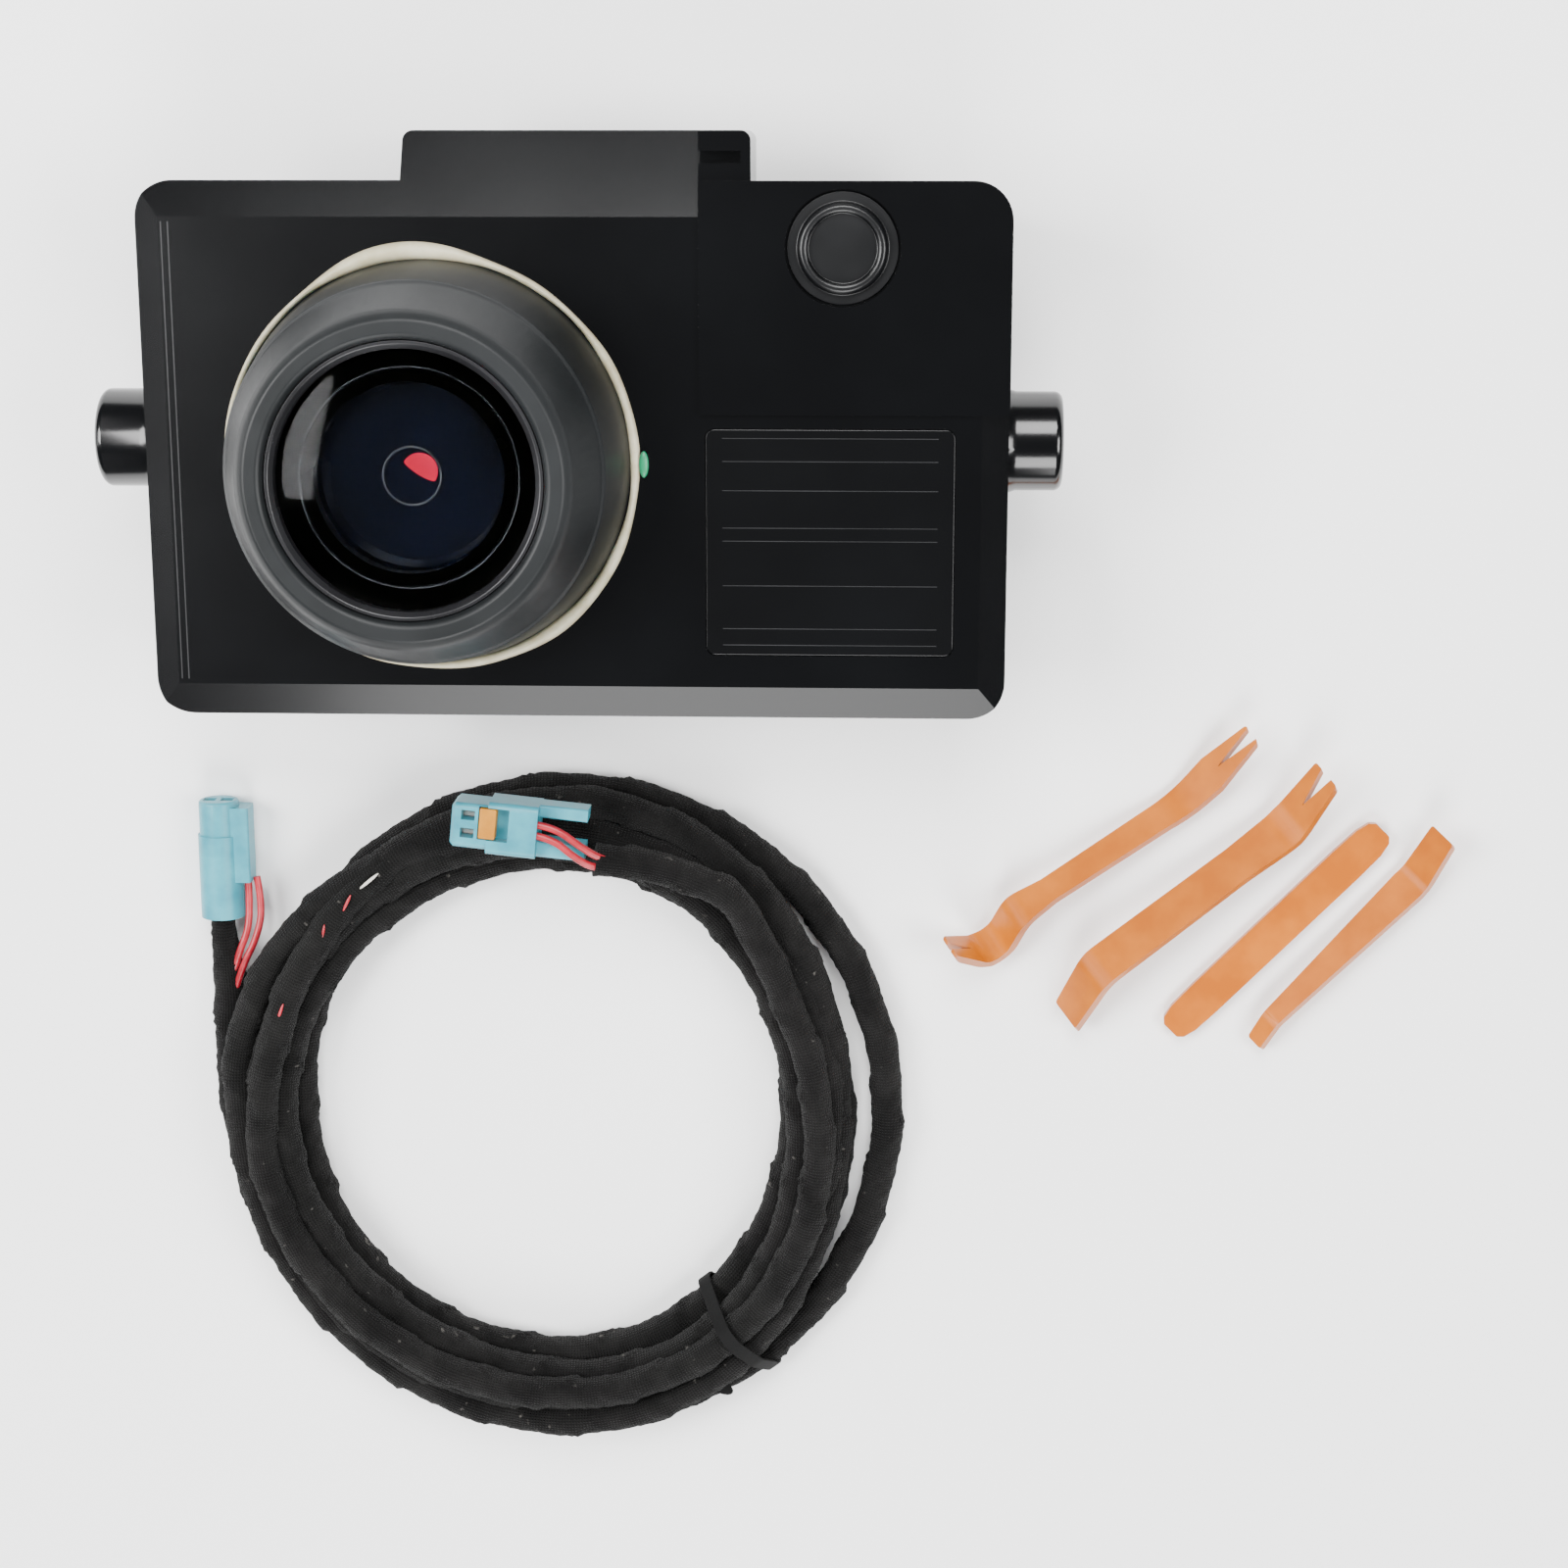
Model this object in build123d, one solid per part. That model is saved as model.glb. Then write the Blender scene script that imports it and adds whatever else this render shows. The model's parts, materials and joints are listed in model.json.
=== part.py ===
from build123d import *
import math
import os

os.makedirs("parts", exist_ok=True)

# Backup camera kit: a camera module lying on its back with the lens up, a taped harness coil with
# two plugs, and four pry tools. The origin is the centre of the module's rear face, +Z is out of
# the lens, +Y is towards the module's mounting tab, and everything lies on the plane z = 0.

# ---- camera housing ----
body_width = 125.2
body_height = 77.4
front_plane = 34.0
wall = 2.5
front_wall = 3.0
body_corner = 5.5
draft_angle = 9.0
cover_thickness = 3.0
edge_drop = 2.7
side_bevel = 3.9
end_bevel = 5.0
tab_left = -24.3
tab_right = 25.7
tab_rise = 6.9
tab_depth = 13.0
block_left = 18.3
block_bottom = 6.0
block_raise = 0.8
tongue_width = 6.0
tongue_rise = 2.4
slot_height = 1.7
slot_depth = 3.0
label_width = 36.0
label_height = 33.0
label_x = 37.0
label_y = -12.5
label_recess = 0.5
label_thickness = 0.5
label_gap = 0.12
pin_radius = 7.2
pin_length = 8.0
pin_behind_front = 10.6
pin_y = 1.3
pin_flange_radius = 8.6
pin_flange_length = 1.2
boss_radius = 4.0
boss_x = 49.0
boss_y = 25.5
insert_radius = 2.2
insert_length = 8.0
screw_radius = 1.5
screw_length = 8.5
screw_head_radius = 2.8
screw_head_height = 1.6
seal_width = 1.3
seal_height = 0.9
fit_gap = 0.1

# ---- lens stack, from the front to the sensor ----
lens_x = -20.6
lens_y = -1.1
barrel_height = 24.0
barrel_base_radius = 29.0
barrel_front_radius = 23.4
barrel_step_height = 15.0
barrel_step = 0.6
barrel_edge = 1.4
neck_radius = 20.5
neck_length = 9.0
bore_radius = 15.0
glass_radius = 19.2
glass_seat_depth = 6.0
glass_rim = 2.6
glass_dome = 1.6
retainer_bore = 18.0
retainer_height = 2.4
lens_seal_width = 1.9
lens_seal_height = 1.6
inner_lens_thickness = 5.0
spacer_height = 3.0
spacer_wall = 1.8
stop_thickness = 1.2
stop_hole = 4.0
rear_lens_thickness = 5.0
rear_spacer_height = 2.4

# ---- boards ----
board_thickness = 1.6
sensor_board_level = 9.0
sensor_board_width = 46.0
sensor_board_height = 42.0
main_board_level = 17.0
main_board_left = 9.0
main_board_right = 43.0
main_board_bottom = -28.0
main_board_top = 31.5
standoff_radius = 2.4
standoff_inset = 3.6
board_screw_radius = 1.2
board_screw_head_radius = 2.2
board_screw_head_height = 1.2
sensor_size = 9.0
sensor_thickness = 1.3
filter_size = 13.0
filter_thickness = 0.8
holder_size = 28.0
holder_bore = 8.0
chip_size = 11.0
chip_thickness = 1.2
shield_size = 20.0
shield_height = 4.0
shield_sheet = 0.4
capacitor_radius = 2.2
capacitor_height = 4.6
link_width = 8.0
link_thickness = 0.4

# ---- rear socket ----
socket_x = 26.0
socket_y = -10.0
socket_width = 16.0
socket_height = 11.0
socket_wall = 1.5
socket_floor = 4.0
socket_flange = 2.0
socket_flange_thickness = 1.4
contact_size = 0.9
contact_pitch = 3.0
contact_count = 4

# ---- small sensor cap ----
cap_x = 38.7
cap_y = 29.4
cap_recess_radius = 8.2
cap_recess_depth = 1.2
cap_ring_outer = 6.4
cap_ring_inner = 5.0
cap_ring_rise = 0.9
cap_stem_radius = 4.0
cap_stem_length = 3.6

# ---- harness ----
cable_radius = 2.75
coil_x = -7.0
coil_y = -109.5
coil_half_x = 57.0
coil_half_y = 57.0
bundle_left = 17.0
bundle_right = 22.5
bundle_height = 14.0
bundle_edge = 5.0
coil_lift = 0.7
tie_width = 2.6
tie_thickness = 0.6
tie_angle = -52.0

# ---- plugs: the nose tip is at the local origin and the plug runs back along its own -X ----
nose_length = 5.6
nose_width = 7.0
nose_depth = 7.0
nose_radius = 3.2
collar_length = 7.6
collar_width = 8.2
collar_depth = 7.6
tail_length = 6.0
tail_radius = 3.5
tail_bore = 2.85
cell_width = 2.0
cell_pitch = 2.8
contact_wall = 0.3
contact_length = 10.0
rail_length = 7.4
upper_rail_width = 2.0
lower_rail_width = 2.6
rail_height = 4.4
side_block_width = 2.2
side_block_depth = 4.6
wire_radius = 0.75
window_length = 2.1
window_width = 1.5
plug_a_x = -61.2
plug_a_tip = -58.5
plug_b_x = -21.0
plug_b_y = -57.6
plug_b_angle = 174.0
plug_b_level = 19.0
lock_length = 2.6
lock_width = 4.8
lock_depth = 2.2
lock_proud = 0.25
lock_gap = 0.15
lock_travel = 1.8
lock_offset = -0.7

# ---- pry tools ----
tool_thickness = 1.6
tool_roll = 38.0
hook_tool_place = (80.0, -66.0, 33.0)
fork_tool_place = (94.0, -72.5, 37.0)
paddle_tool_place = (107.6, -79.0, 46.0)
wedge_tool_place = (119.3, -80.4, 46.4)
hook_shaft = 31.4
fork_shaft = 37.6
paddle_length = 47.0
wedge_shaft = 32.0
hook_width = 4.2
fork_width = 6.6
paddle_width = 5.8
wedge_width = 5.6

edge_plane = front_plane - edge_drop
draft = math.tan(math.radians(draft_angle))
barrel_front = front_plane + barrel_height
pin_z = front_plane - pin_behind_front
sensor_board_top = sensor_board_level + board_thickness
main_board_top_z = main_board_level + board_thickness


def placed(shape, x, y, z):
    return Pos(x, y, z) * shape


def rounded_face(width, height, radius, z):
    return Pos(0, 0, z) * RectangleRounded(width, height, radius)


def rounded_block(width, depth, height, radius, x, y, z):
    """A block standing on z with rounded upright corners."""
    return Pos(x, y, z) * extrude(RectangleRounded(width, depth, radius), amount=height)


def cylinder_up(radius, height, x, y, z):
    return Pos(x, y, z) * Cylinder(radius, height, align=(Align.CENTER, Align.CENTER, Align.MIN))


def ring_up(outer, inner, height, x, y, z):
    return cylinder_up(outer, height, x, y, z) - cylinder_up(inner, height, x, y, z)


def turned(points, x, y):
    """A solid turned about the vertical axis through x, y from its half profile."""
    profile = make_face(Polyline(*[(radius, 0, z) for radius, z in points], close=True))
    return Pos(x, y, 0) * revolve(profile, Axis.Z)


def shell_size(z, inset):
    """Width and height of the drafted housing at height z, brought in by inset."""
    back = max(edge_plane - z, 0) * draft
    return body_width - 2 * (back + inset), body_height - 2 * (back + inset)


def drafted_block(low, high, inset, radius):
    low_width, low_height = shell_size(low, inset)
    high_width, high_height = shell_size(high, inset)
    bottom = rounded_face(low_width, low_height, radius, low)
    top = rounded_face(high_width, high_height, radius, high)
    return loft([bottom, top], ruled=True)


def bevel_cutters():
    """Wedges that slope the left, bottom, top left and lower right edges of the front face."""
    reach = 20.0
    half_width = body_width / 2
    half_height = body_height / 2
    top_run = tab_rise + end_bevel
    top_drop = edge_drop * top_run / end_bevel
    over = 3.0

    def wedge(inner, outer, drop, length):
        slope = drop / (outer - inner)
        run = outer + over - inner
        points = [(inner, front_plane), (inner + run, front_plane - slope * run),
                  (inner + run, front_plane + reach),
                  (inner, front_plane + reach)]
        return extrude(Plane.XZ * make_face(Polyline(*points, close=True)), amount=length / 2, both=True)

    right = wedge(half_width - side_bevel, half_width, edge_drop, 2 * body_height)
    right = Pos(0, block_bottom - body_height, 0) * right
    left = Rot(0, 0, 180) * wedge(half_width - side_bevel, half_width, edge_drop, 2 * body_height)
    bottom = Rot(0, 0, -90) * wedge(half_height - end_bevel, half_height, edge_drop, 2 * body_width)
    top_length = 2 * body_width
    top = Rot(0, 0, 90) * wedge(half_height - end_bevel, half_height + tab_rise, top_drop, top_length)
    top = Pos(block_left - body_width, 0, 0) * top
    return right, left, bottom, top


def tab_block():
    half_height = body_height / 2
    width = tab_right - tab_left
    rise = tab_rise + body_height / 4
    middle = (tab_left + tab_right) / 2
    return rounded_block(width, 2 * rise, tab_depth, 1.4, middle, half_height + tab_rise - rise,
                         edge_plane - tab_depth)


def front_housing():
    shell = drafted_block(cover_thickness, edge_plane, 0, body_corner)
    shell += rounded_block(body_width, body_height, edge_drop + block_raise, body_corner, 0, 0, edge_plane)
    shell += tab_block()
    tab_top = rounded_block(tab_right - tab_left, 2 * tab_rise + body_height / 2, edge_drop, 1.4,
                            (tab_left + tab_right) / 2, body_height / 4, edge_plane)
    shell += tab_top
    for cutter in bevel_cutters():
        shell -= cutter
    # the lens panel and the label panel lie lower than the raised block
    low = block_raise + 1
    level = front_plane + low / 2
    lens_panel = placed(Box(body_width, 2 * body_height, low), block_left - body_width / 2, 0, level)
    label_panel = placed(Box(body_width, body_height, low), 0, block_bottom - body_height / 2, level)
    shell -= lens_panel + label_panel
    # tongue and slot at the right end of the tab
    tongue_x = block_left + tongue_width / 2
    slot_y = body_height / 2 + tongue_rise + slot_height / 2
    tongue = Box(tongue_width, 2 * tongue_rise, edge_drop)
    shell += placed(tongue, tongue_x, body_height / 2, front_plane - edge_drop / 2)
    slot = Box(tongue_width + 1.6, slot_height, 2 * slot_depth)
    shell -= placed(slot, tongue_x - 0.8, slot_y, front_plane - 1)
    # inside
    ceiling = front_plane - front_wall - edge_drop
    shell -= drafted_block(cover_thickness - 1, ceiling, wall, body_corner - wall)
    shell += housing_bosses()
    shell -= insert_holes()
    shell += pins()
    shell -= cylinder_up(neck_radius + fit_gap, front_plane, lens_x, lens_y, front_plane / 2)
    shell -= cylinder_up(cap_recess_radius, 9, cap_x, cap_y, front_plane + block_raise - cap_recess_depth)
    shell -= cylinder_up(cap_stem_radius + fit_gap, front_plane, cap_x, cap_y, front_plane / 2)
    shell -= rounded_block(label_width, label_height, 9, 1.5, label_x, label_y, front_plane - label_recess)
    return shell


def boss_places():
    return [(x, y) for x in (-boss_x, boss_x) for y in (-boss_y, boss_y)]


def housing_bosses():
    depth = front_plane - front_wall - cover_thickness
    posts = [cylinder_up(boss_radius, depth, x, y, cover_thickness) for x, y in boss_places()]
    return posts


def insert_holes():
    return [cylinder_up(insert_radius, insert_length + 1, x, y, cover_thickness) for x, y in boss_places()]


def pins():
    """The two side pins, moulded with the housing, with a small flange at each root."""
    made = []
    root = body_width / 2 - wall
    for side in (-1, 1):
        length = pin_length + wall
        pin = Rot(0, 90, 0) * Cylinder(pin_radius, length)
        rim = pin.edges().group_by(Axis.X)[-1 if side > 0 else 0]
        pin = fillet(rim, 1.2)
        made.append(placed(pin, side * (root + length / 2), pin_y, pin_z))
        flange_length = wall + pin_flange_length
        flange = Rot(0, 90 * side, 0) * Cone(pin_flange_radius, pin_radius, flange_length)
        made.append(placed(flange, side * (root + flange_length / 2), pin_y, pin_z))
    return made


def rear_cover():
    width, height = shell_size(cover_thickness, 0)
    cover = rounded_block(width, height, cover_thickness, body_corner, 0, 0, 0)
    cover = fillet(cover.edges().group_by(Axis.Z)[0], 0.8)
    cover -= seal_solid(fit_gap / 2)
    for x, y in boss_places():
        cover -= cylinder_up(screw_radius + 0.2, 2 * cover_thickness, x, y, -1)
        cover -= cylinder_up(screw_head_radius + 0.3, screw_head_height + 1.2, x, y, -1)
    width = socket_width + 2 * fit_gap
    height = socket_height + 2 * fit_gap
    cover -= rounded_block(width, height, 9, 1.5, socket_x, socket_y, -1)
    return cover


def seal_solid(grow):
    width, height = shell_size(cover_thickness, wall / 2)
    outer = rounded_block(width + seal_width + 2 * grow, height + seal_width + 2 * grow, seal_height,
                          body_corner - wall / 2 + seal_width / 2, 0, 0, cover_thickness - seal_height)
    inner = rounded_block(width - seal_width - 2 * grow, height - seal_width - 2 * grow, seal_height,
                          body_corner - wall / 2 - seal_width / 2, 0, 0, cover_thickness - seal_height)
    return outer - inner


def threaded_inserts():
    made = []
    for x, y in boss_places():
        made.append(ring_up(insert_radius, screw_radius, insert_length, x, y, cover_thickness))
    return made


def cover_screws():
    made = []
    for x, y in boss_places():
        head = cylinder_up(screw_head_radius, screw_head_height - 0.2, x, y, 0.2)
        shank = cylinder_up(screw_radius, screw_length, x, y, 0.4)
        recess = rounded_block(2.8, 0.7, 0.9, 0.3, x, y, 0.1) + rounded_block(0.7, 2.8, 0.9, 0.3, x, y, 0.1)
        made.append(head + shank - recess)
    return made


def lens_barrel():
    seat = barrel_front - glass_seat_depth
    neck_end = front_plane - neck_length
    step = front_plane + barrel_step_height
    edge = barrel_front_radius - barrel_edge
    half_way = (barrel_base_radius + barrel_front_radius) / 2
    points = [(bore_radius, neck_end), (neck_radius, neck_end), (neck_radius, front_plane),
              (barrel_base_radius, front_plane), (barrel_base_radius - 0.4, front_plane + 2.5),
              (half_way + barrel_step, step - barrel_step), (half_way, step),
              (barrel_front_radius, barrel_front - barrel_edge),
              (edge, barrel_front), (glass_radius + 0.8, barrel_front),
              (glass_radius + fit_gap, barrel_front - 0.7),
              (glass_radius + fit_gap, seat), (bore_radius, seat)]
    return turned(points, lens_x, lens_y)


def lens_seal_ring():
    foot = barrel_base_radius + 0.05
    points = [(foot, front_plane), (foot + lens_seal_width, front_plane),
              (foot + lens_seal_width * 0.8, front_plane + 0.9),
              (foot + 0.3, front_plane + lens_seal_height), (foot, front_plane + lens_seal_height)]
    return turned(points, lens_x, lens_y)


def dome_cap(radius, rise, z, up):
    """A shallow spherical cap on a flat disc at z, bulging up (1) or down (-1)."""
    sphere_radius = (radius ** 2 + rise ** 2) / (2 * rise)
    disc = placed(Cylinder(radius, 2 * rise), lens_x, lens_y, z)
    return disc & placed(Sphere(sphere_radius), lens_x, lens_y, z + up * (rise - sphere_radius))


def front_glass():
    seat = barrel_front - glass_seat_depth
    rim = cylinder_up(glass_radius, glass_rim, lens_x, lens_y, seat)
    return rim + dome_cap(retainer_bore - fit_gap, glass_dome, seat + glass_rim, 1)


def lens_retaining_ring():
    low = barrel_front - glass_seat_depth + glass_rim
    points = [(retainer_bore, low), (glass_radius, low), (glass_radius, low + retainer_height),
              (retainer_bore + 0.7, low + retainer_height), (retainer_bore, low + retainer_height - 0.7)]
    return turned(points, lens_x, lens_y)


def stacked_levels():
    """Bottom levels of the pieces held in the barrel's bore, from the front glass down."""
    seat = barrel_front - glass_seat_depth
    spacer = seat - spacer_height
    inner = spacer - inner_lens_thickness
    stop = inner - stop_thickness
    rear_spacer = stop - rear_spacer_height
    rear = rear_spacer - rear_lens_thickness
    return spacer, inner, stop, rear_spacer, rear


def bulged_lens(low, thickness, radius):
    rim = thickness * 0.5
    side = (thickness - rim) / 2
    middle = cylinder_up(radius, rim, lens_x, lens_y, low + side)
    return middle + dome_cap(radius, side, low + side + rim, 1) + dome_cap(radius, side, low + side, -1)


def held_ring(low, height, inner):
    return ring_up(bore_radius - fit_gap, inner, height, lens_x, lens_y, low)


def lens_holder():
    top = front_plane - neck_length
    height = top - sensor_board_top
    holder = rounded_block(holder_size, holder_size, height, 2, lens_x, lens_y, sensor_board_top)
    holder -= cylinder_up(holder_bore, 2 * height, lens_x, lens_y, sensor_board_top - 1)
    room = filter_size + 2 * fit_gap
    low = sensor_board_top + sensor_thickness + 2
    depth = low + filter_thickness - sensor_board_top
    holder -= rounded_block(room, room, depth, 0.4, lens_x, lens_y, sensor_board_top)
    return holder


def infrared_filter():
    low = sensor_board_top + sensor_thickness + 2
    return rounded_block(filter_size, filter_size, filter_thickness, 0.3, lens_x, lens_y, low)


def sensor_standoffs():
    half_width = sensor_board_width / 2 - standoff_inset
    half_height = sensor_board_height / 2 - standoff_inset
    return [(lens_x + x, lens_y + y) for x in (-half_width, half_width) for y in (-half_height, half_height)]


def main_standoffs():
    left = main_board_left + standoff_inset
    right = main_board_right - standoff_inset
    bottom = main_board_bottom + standoff_inset
    return [(left, bottom), (right, bottom), (left, main_board_top - standoff_inset)]


def sensor_board():
    board = rounded_block(sensor_board_width, sensor_board_height, board_thickness, 1.5,
                          lens_x, lens_y, sensor_board_level)
    for x, y in sensor_standoffs():
        board -= cylinder_up(board_screw_radius, 9, x, y, sensor_board_level - 2)
    return board


def main_board():
    width = main_board_right - main_board_left
    height = main_board_top - main_board_bottom
    board = rounded_block(width, height, board_thickness, 1.5, (main_board_left + main_board_right) / 2,
                          (main_board_top + main_board_bottom) / 2, main_board_level)
    for x, y in main_standoffs():
        board -= cylinder_up(board_screw_radius, 9, x, y, main_board_level - 2)
    for x, y in contact_places():
        board -= placed(Box(contact_size + fit_gap, contact_size + fit_gap, 9), x, y, main_board_level)
    return board


def board_spacers():
    made = []
    for places, level in ((sensor_standoffs(), sensor_board_level), (main_standoffs(), main_board_level)):
        height = level - cover_thickness
        for x, y in places:
            post = placed(extrude(RegularPolygon(standoff_radius, 6), amount=height), x, y, cover_thickness)
            made.append(post - cylinder_up(board_screw_radius, 9, x, y, level - 4.5))
    return made


def board_screws():
    made = []
    for places, level in ((sensor_standoffs(), sensor_board_level), (main_standoffs(), main_board_level)):
        top = level + board_thickness
        for x, y in places:
            head = cylinder_up(board_screw_head_radius, board_screw_head_height, x, y, top)
            slot = placed(Box(3, 0.6, 1), x, y, top + board_screw_head_height)
            made.append(head + cylinder_up(board_screw_radius, 5, x, y, top - 5) - slot)
    return made


def image_sensor():
    return rounded_block(sensor_size, sensor_size, sensor_thickness, 0.3, lens_x, lens_y, sensor_board_top)


def board_link():
    """Flat flexible link from the top of the sensor board to the top of the main board."""
    start = lens_x + sensor_board_width / 2 - 5
    end = main_board_left + 5
    middle = (lens_x + sensor_board_width / 2 + main_board_left) / 2
    path = FilletPolyline((start, lens_y, sensor_board_top + link_thickness / 2),
                          (middle, lens_y, sensor_board_top + link_thickness / 2),
                          (middle, lens_y, main_board_top_z + link_thickness / 2),
                          (end, lens_y, main_board_top_z + link_thickness / 2), radius=1.5)
    section = Plane(origin=path @ 0, z_dir=path % 0) * Rectangle(link_thickness, link_width)
    box = section.bounding_box()
    if box.size.Z > link_thickness * 1.5:
        section = Plane(origin=path @ 0, z_dir=path % 0) * Rectangle(link_width, link_thickness)
    return sweep(section, path=path)


def chip_place():
    return (main_board_left + main_board_right) / 2 + 2, 5.0


def processor_chip():
    x, y = chip_place()
    return rounded_block(chip_size, chip_size, chip_thickness, 0.4, x, y, main_board_top_z)


def shield_can():
    x, y = chip_place()
    can = rounded_block(shield_size, shield_size, shield_height, 1, x, y, main_board_top_z)
    inner = shield_size - 2 * shield_sheet
    return can - rounded_block(inner, inner, shield_height - shield_sheet, 0.6, x, y, main_board_top_z)


def capacitors():
    pitch = 2 * capacitor_radius + 1.6
    made = []
    for i in range(3):
        made.append(cylinder_up(capacitor_radius, capacitor_height, 20 + pitch * i, -16, main_board_top_z))
    return made


def contact_places():
    middle = (contact_count - 1) / 2
    return [(socket_x + (i - middle) * contact_pitch, socket_y) for i in range(contact_count)]


def socket_shell():
    height = main_board_level
    shell = rounded_block(socket_width, socket_height, height, 1.4, socket_x, socket_y, 0)
    flange_low = cover_thickness + 1.2
    flange_width = socket_width + 2 * socket_flange
    flange_height = socket_height + 2 * socket_flange
    thickness = socket_flange_thickness
    shell += rounded_block(flange_width, flange_height, thickness, 2, socket_x, socket_y, flange_low)
    inner_width = socket_width - 2 * socket_wall
    inner_height = socket_height - 2 * socket_wall
    shell -= rounded_block(inner_width, inner_height, height - socket_floor, 0.8, socket_x, socket_y, 0)
    for x, y in contact_places():
        shell -= placed(Box(contact_size, contact_size, 9), x, y, height - socket_floor + 2)
    return shell


def socket_seal():
    width = socket_width + 2 * socket_flange
    height = socket_height + 2 * socket_flange
    outer = rounded_block(width, height, 1.2, 2, socket_x, socket_y,
                          cover_thickness)
    gap = 2 * fit_gap
    return outer - rounded_block(socket_width + gap, socket_height + gap, 9, 1.4, socket_x, socket_y, 0)


def socket_contacts():
    low = 5.0
    high = main_board_top_z + 0.8
    contact = Box(contact_size, contact_size, high - low)
    return [placed(contact, x, y, (low + high) / 2) for x, y in contact_places()]


def label_plate():
    width = label_width - 2 * label_gap
    height = label_height - 2 * label_gap
    return rounded_block(width, height, label_thickness, 1.3, label_x, label_y, front_plane - label_recess)


def light_sensor_cap():
    base = front_plane + block_raise - cap_recess_depth
    top = base + cap_recess_depth + cap_ring_rise
    radius = cap_recess_radius - 0.25
    points = [(0, base - cap_stem_length), (cap_stem_radius, base - cap_stem_length), (cap_stem_radius, base),
              (radius, base), (radius, base + 0.5), (cap_ring_outer, base + 0.5), (cap_ring_outer, top - 0.5),
              (cap_ring_outer - 0.5, top), (cap_ring_inner + 0.3, top), (cap_ring_inner, top - 0.3),
              (cap_ring_inner, base + 1.0), (0, base + 1.0)]
    return turned(points, cap_x, cap_y)


def light_sensor_element():
    return cylinder_up(1.8, 2.2, cap_x, cap_y - 1.5, main_board_top_z)


def coil_ring(grow):
    """Plan of the bundle, grown all round; it is wider on the right than on the left."""
    inner_half_x = coil_half_x - (bundle_left + bundle_right) / 2
    inner_half_y = coil_half_y - bundle_left
    shift = (bundle_left - bundle_right) / 2
    hole = Pos(shift, 0) * Ellipse(inner_half_x - grow, inner_half_y - grow)
    return Ellipse(coil_half_x + grow, coil_half_y + grow) - hole


def harness_coil():
    solid = extrude(coil_ring(0), amount=bundle_height)
    solid = chamfer(solid.edges().filter_by(GeomType.ELLIPSE), bundle_edge * 0.6)
    return Pos(coil_x, coil_y, coil_lift) * solid


def coil_tie():
    """A thin band right round the bundle at the lower right."""
    band = extrude(coil_ring(tie_thickness + fit_gap), amount=bundle_height + 2 * tie_thickness)
    band = chamfer(band.edges().filter_by(GeomType.ELLIPSE), bundle_edge * 0.6)
    room = extrude(coil_ring(fit_gap), amount=bundle_height + 2 * fit_gap)
    room = chamfer(room.edges().filter_by(GeomType.ELLIPSE), bundle_edge * 0.6)
    band -= Pos(0, 0, tie_thickness - fit_gap) * room
    slab = Box(coil_half_x, tie_width, 3 * bundle_height)
    slab = Rot(0, 0, tie_angle) * Pos(coil_half_x, 0, bundle_height / 2) * slab
    return Pos(coil_x, coil_y, coil_lift - tie_thickness) * (band & slab)


def tube(points, radius, radii):
    path = FilletPolyline(*points, radius=radii)
    section = Plane(origin=path @ 0, z_dir=path % 0) * Circle(radius)
    solid = sweep(section, path=path)
    print("tube radii", [round(r, 1) for r in radii], "length", round(path.length, 1),
          "volume ratio", round(solid.volume / (math.pi * radius ** 2 * path.length), 3))
    return solid


def corner_radii(points):
    """Each corner's largest arc: 0.45 of its shorter run over the tangent of half its turn."""
    radii = []
    for before, here, after in zip(points, points[1:], points[2:]):
        run_in = Vector(*here) - Vector(*before)
        run_out = Vector(*after) - Vector(*here)
        half_turn = math.radians(run_in.get_angle(run_out)) / 2
        radii.append(0.45 * min(run_in.length, run_out.length) / math.tan(half_turn))
    return radii


def tail_a_points():
    top = plug_a_tip - nose_length - collar_length - 2
    level = tail_radius + 0.1
    return [(plug_a_x, top, level), (plug_a_x, top - 6.4, level), (plug_a_x + 0.6, top - 13, level + 0.3),
            (plug_a_x + 2.2, top - 19.5, level + 1.2)]


def tail_b_points():
    start = (plug_b_place() * Pos(*wires_end())).position
    level = coil_lift + bundle_height + cable_radius
    return [(start.X, start.Y, start.Z), (start.X + 8, start.Y - 1.3, level + 0.5),
            (start.X + 17.5, start.Y - 4.6, level - 0.3), (start.X + 26, start.Y - 10.0, level - 3.0)]


def harness_tail_a():
    return tube(tail_a_points(), cable_radius, corner_radii(tail_a_points()))


def harness_tail_b():
    return tube(tail_b_points(), cable_radius, corner_radii(tail_b_points()))


def plug_a_place():
    return Pos(plug_a_x, plug_a_tip, tail_radius + 0.1) * Rot(0, 0, 90)


def plug_b_place():
    return Pos(plug_b_x, plug_b_y, plug_b_level) * Rot(0, 0, plug_b_angle)


def wires_end():
    """Where the second plug's wires go into the cable, in the plug's own frame."""
    back = nose_length + collar_length + rail_length
    return -back - 1.6, 3.6, 0.4


def back_block(start, length, width, depth, radius):
    """A rounded bar lying along the plug, from start backwards."""
    bar = extrude(Plane.YZ * RectangleRounded(width, depth, radius), amount=-length)
    return Pos(-start, 0, 0) * bar


def cell_places():
    return (-cell_pitch / 2, cell_pitch / 2)


def plug_cells():
    length = nose_length + collar_length
    return [Pos(0, y, 0) * back_block(-1, length + 2, cell_width, cell_width, 0.2) for y in cell_places()]


def back_rod(start, length, radius):
    return Pos(-start - length / 2, 0, 0) * Rot(0, 90, 0) * Cylinder(radius, length)


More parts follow.
